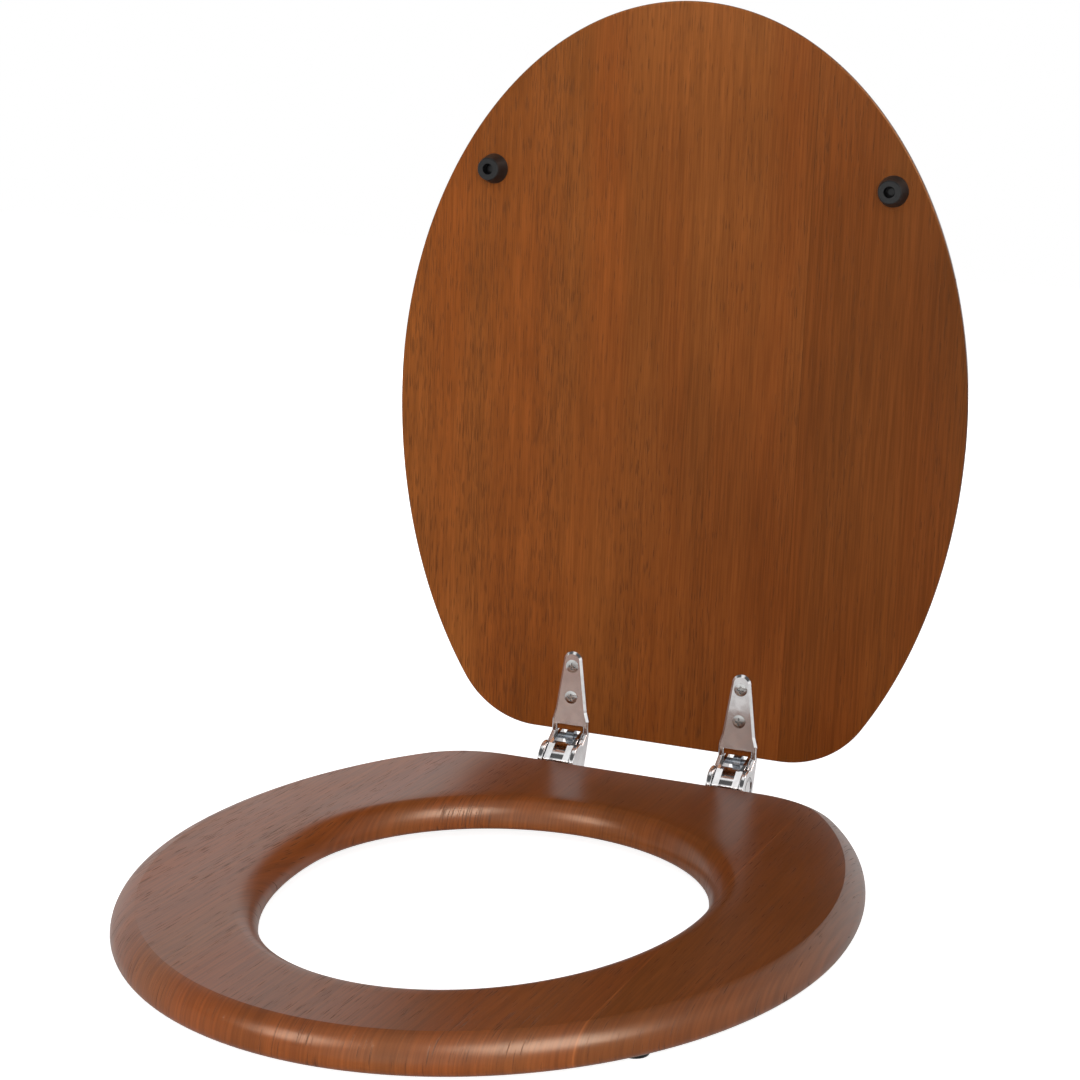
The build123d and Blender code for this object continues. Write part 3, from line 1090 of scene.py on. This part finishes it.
@dataclass(frozen=True)
class PhotoCamera:
    """Camera at the photograph's viewing angle.

    Attributes:
        azimuth_deg: Turn to the right of the front.
        elevation_deg: Height above the level.
        roll_deg: Turn about the line of sight.
        distance: Distance from the target.
        target: Point on the line of sight.
        focal_px: Focal length in pixels of the image.
        image_px: Width of the image in pixels.
        sensor_mm: Width of the sensor.
    """

    azimuth_deg: float = 21.080
    elevation_deg: float = 10.212
    roll_deg: float = 2.931
    distance: float = 1.2204
    target: Place = (-0.0156, -0.1727, 0.1865)
    focal_px: float = 2265.5
    image_px: float = 1080.0
    sensor_mm: float = 36.0

    def place(self) -> None:
        """Put the camera in the scene, its three axes from the azimuth, elevation and roll."""
        azimuth, elevation, roll = (
            math.radians(angle) for angle in (self.azimuth_deg, self.elevation_deg, self.roll_deg)
        )
        level = math.cos(elevation)
        back = Vector((math.sin(azimuth) * level, -math.cos(azimuth) * level, math.sin(elevation)))
        right = Vector((math.cos(azimuth), math.sin(azimuth), 0.0))
        up = back.cross(right)
        side = right * math.cos(roll) + up * math.sin(roll)
        head = up * math.cos(roll) - right * math.sin(roll)
        lens = bpy.data.cameras.new("photo_camera")
        lens.sensor_width = self.sensor_mm
        lens.lens = self.focal_px / self.image_px * self.sensor_mm
        camera = bpy.data.objects.new("photo_camera", lens)
        turn = Matrix((side, head, back)).transposed().to_4x4()
        camera.matrix_world = Matrix.Translation(Vector(self.target) + back * self.distance) @ turn
        bpy.context.scene.collection.objects.link(camera)
        bpy.context.scene.camera = camera


@dataclass(frozen=True)
class SoftLamp:
    """Large soft panel that faces a point.

    Attributes:
        name: The lamp's name.
        role: What the lamp does.
        place: Middle of the panel.
        aim: Point that it faces.
        size: Width and height of the panel.
        power: Power in watts.
    """

    name: str
    role: LampRole
    place: Place
    aim: Place
    size: Pair
    power: float

    def hang(self, lacquered: bpy.types.Collection) -> None:
        """Put the lamp in the scene.

        Args:
            lacquered: Pieces that show a sheen.
        """
        lamp = bpy.data.lights.new(self.name, "AREA")
        lamp.shape = "RECTANGLE"
        lamp.size, lamp.size_y = self.size
        lamp.energy = self.power
        holder = bpy.data.objects.new(self.name, lamp)
        holder.location = self.place
        holder.rotation_euler = (Vector(self.aim) - Vector(self.place)).to_track_quat("-Z", "Y").to_euler()
        holder.visible_diffuse = self.role is LampRole.FILL
        holder.visible_glossy = self.role is LampRole.SHEEN
        if self.role is LampRole.SHEEN:
            holder.light_linking.receiver_collection = lacquered
        bpy.context.scene.collection.objects.link(holder)


@dataclass(frozen=True)
class Studio:
    """White sweep with soft lamps, whose background is plain white to the eye and in reflections.

    Metal and lacquer see a dimmer ceiling above the sweep, a dim room in front and a panel overhead. Their
    edges are heights of the unit direction, but for those of the back, which lie along its Y.

    Attributes:
        lamps: The soft lamps.
        ambient: Level of the world where it lights the object.
        ceiling, ceiling_edges: Level of the mirrored ceiling, and where it starts and is full.
        room, room_edges: The same for the room in front.
        behind_edges: Where the room ends and the sweep behind is full.
        overhead, overhead_edges: Level of the panel overhead, and where it starts and is full.
        floor_half, floor_colour: Half the floor's width and its colour.
        floor_glow, floor_gleam: Glow of the floor where it is seen and in reflections.
    """

    lamps: tuple[SoftLamp, ...] = (
        SoftLamp("front_fill", LampRole.FILL, (0.60, -2.20, 0.85), (0.0, -0.2, 0.15), (1.6, 1.6), 50.0),
        SoftLamp("back_fill", LampRole.FILL, (-0.90, 2.20, 1.10), (0.0, 0.0, 0.25), (1.6, 1.6), 28.0),
        SoftLamp("left_sheen", LampRole.SHEEN, (-0.67, -1.47, 1.35), (0.0, -0.4, 0.05), (0.7, 0.9), 29.0),
        SoftLamp("right_sheen", LampRole.SHEEN, (1.12, -0.73, 1.35), (0.0, -0.4, 0.05), (1.0, 1.0), 60.0),
    )
    ambient: float = 0.28
    ceiling: float = 0.30
    ceiling_edges: Pair = (0.42, 0.70)
    room: float = 0.10
    room_edges: Pair = (0.26, 0.46)
    behind_edges: Pair = (-0.35, 0.15)
    overhead: float = 1.0
    overhead_edges: Pair = (0.86, 0.95)
    floor_half: float = 6.0
    floor_colour: Colour = (0.80, 0.80, 0.80)
    floor_glow: float = 0.86
    floor_gleam: float = 0.20

    def light_world(self) -> None:
        """White world for the eye, graded for reflections and softer where it lights the object."""
        world = bpy.data.worlds.new("white_sweep")
        world.use_nodes = True
        graph = NodeGraph(world.node_tree)
        shade = world.node_tree.nodes["Background"]
        path = graph.add("ShaderNodeLightPath").outputs
        split = graph.add("ShaderNodeSeparateXYZ")
        graph.feed(split.inputs["Vector"], graph.add("ShaderNodeTexCoord").outputs["Generated"])
        sweep = graph.span(split.outputs["Z"], *self.ceiling_edges, 1.0, self.ceiling)
        room = graph.span(split.outputs["Z"], *self.room_edges, 1.0, self.room)
        behind = graph.span(split.outputs["Y"], *self.behind_edges)
        above = graph.span(split.outputs["Z"], *self.overhead_edges, 0.0, self.overhead)
        around = graph.math("MAXIMUM", room, graph.math("MULTIPLY", sweep, behind))
        mirrored = graph.math("MAXIMUM", around, above)
        unseen = graph.span(path["Is Glossy Ray"], 0.0, 1.0, self.ambient, mirrored)
        graph.feed(shade.inputs["Color"], WHITE)
        graph.feed(shade.inputs["Strength"], graph.math("MAXIMUM", graph.seen(path), unseen))
        bpy.context.scene.world = world

    def lay_floor(self) -> None:
        """Pale floor at the rim plane, which glows a little where it is seen and keeps the shadow."""
        half = self.floor_half
        corners = [(-half, -half, 0.0), (half, -half, 0.0), (half, half, 0.0), (-half, half, 0.0)]
        mesh = bpy.data.meshes.new("floor")
        mesh.from_pydata(corners, [], [(0, 1, 2, 3)])
        floor = bpy.data.objects.new("floor", mesh)
        bpy.context.scene.collection.objects.link(floor)
        graph = ShaderGraph("pale_floor")
        path = graph.add("ShaderNodeLightPath").outputs
        seen = graph.math("MULTIPLY", graph.seen(path), self.floor_glow)
        mirrored = graph.math("MULTIPLY", path["Is Glossy Ray"], self.floor_gleam)
        graph.surface(
            Base_Color=self.floor_colour,
            Roughness=1.0,
            Specular_IOR_Level=0.0,
            Emission_Color=WHITE,
            Emission_Strength=graph.math("MAXIMUM", seen, mirrored),
        )
        dress(floor, graph.material)

    def set_up(self, lacquered: Sequence[bpy.types.Object]) -> None:
        """World, floor and lamps, with the plain view transform.

        Args:
            lacquered: Pieces that show a sheen.
        """
        self.light_world()
        self.lay_floor()
        receivers = bpy.data.collections.new("lacquered")
        for piece in lacquered:
            receivers.objects.link(piece)
        for lamp in self.lamps:
            lamp.hang(receivers)
        bpy.context.scene.view_settings.view_transform = "Standard"


def main() -> None:
    """Build and dress every piece."""
    logging.basicConfig(level=logging.INFO, format="%(name)s %(message)s")
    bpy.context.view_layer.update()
    ring = SeatRing.from_frame()
    lid = LidBoard.from_frame()
    seat_wood = WoodFinish(
        "seat_wood",
        ring.plan.width,
        joints=(-0.103, 0.112),
        tones=((1.10, 1.10, 1.10), (1.09, 1.09, 1.09), (1.10, 1.10, 1.10)),
        # Painted light: the lean makes the seat lighter towards its left side
        lean=((1.32, 1.27, 1.15), WHITE),
        glue=((0.85, 0.83, 0.80), (1.40, 1.50, 1.60)),
        deep=(0.137, 0.0362, 0.0078),
        pale=(0.167, 0.0455, 0.0099),
        pore_share=0.65,
        pore_scale=(1900.0, 55.0, 65.0),
        pore_limits=(0.665, 0.725),
        pore_rough=0.20,
        crowd=0.06,
        crowd_lean=0.025,
        lacquer_ior=1.38,
        lacquer_tint=(1.0, 0.86, 0.68),
    )
    lid_wood = WoodFinish(
        "lid_wood",
        lid.plan.width,
        joints=(0.079,),
        tones=((1.05, 1.05, 1.05), (0.95, 0.93, 0.90)),
        # Painted light: the lean makes the lid lighter on its left and darker on its right
        lean=((1.38, 1.44, 1.28), (0.72, 0.66, 0.52)),
        glue=((0.72, 0.70, 0.68),),
        crowd_lean=0.05,
        lacquer_tint=(0.90, 0.45, 0.20),
        turn_deg=lid.open_deg,
    )
    boards = (ring.build(), lid.build())
    for piece, node, body, finish in zip(
        boards, ("seat_ring", "lid_board"), (Body.SEAT, Body.LID), (seat_wood, lid_wood)
    ):
        dress(piece, finish.material())
        hand_over(piece, node, body)
    lean = math.radians(lid.open_deg)
    open_down = (0.0, -math.sin(lean), -math.cos(lean))
    open_along = (0.0, math.cos(lean), -math.sin(lean))
    screws = [
        pair
        for hand in ("left", "right")
        for pair in (
            LeafScrews(f"lid_arm_screws_{hand}", Body.LID, open_down, open_along),
            LeafScrews(f"seat_arm_screws_{hand}", Body.SEAT, (0.0, 0.0, -1.0), (0.0, 1.0, 0.0)),
        )
    ]
    Fittings(FINISHES, tuple(screws), SCREW_FINISH).dress()
    PhotoCamera().place()
    Studio().set_up(boards)


if __name__ == "__main__":
    main()
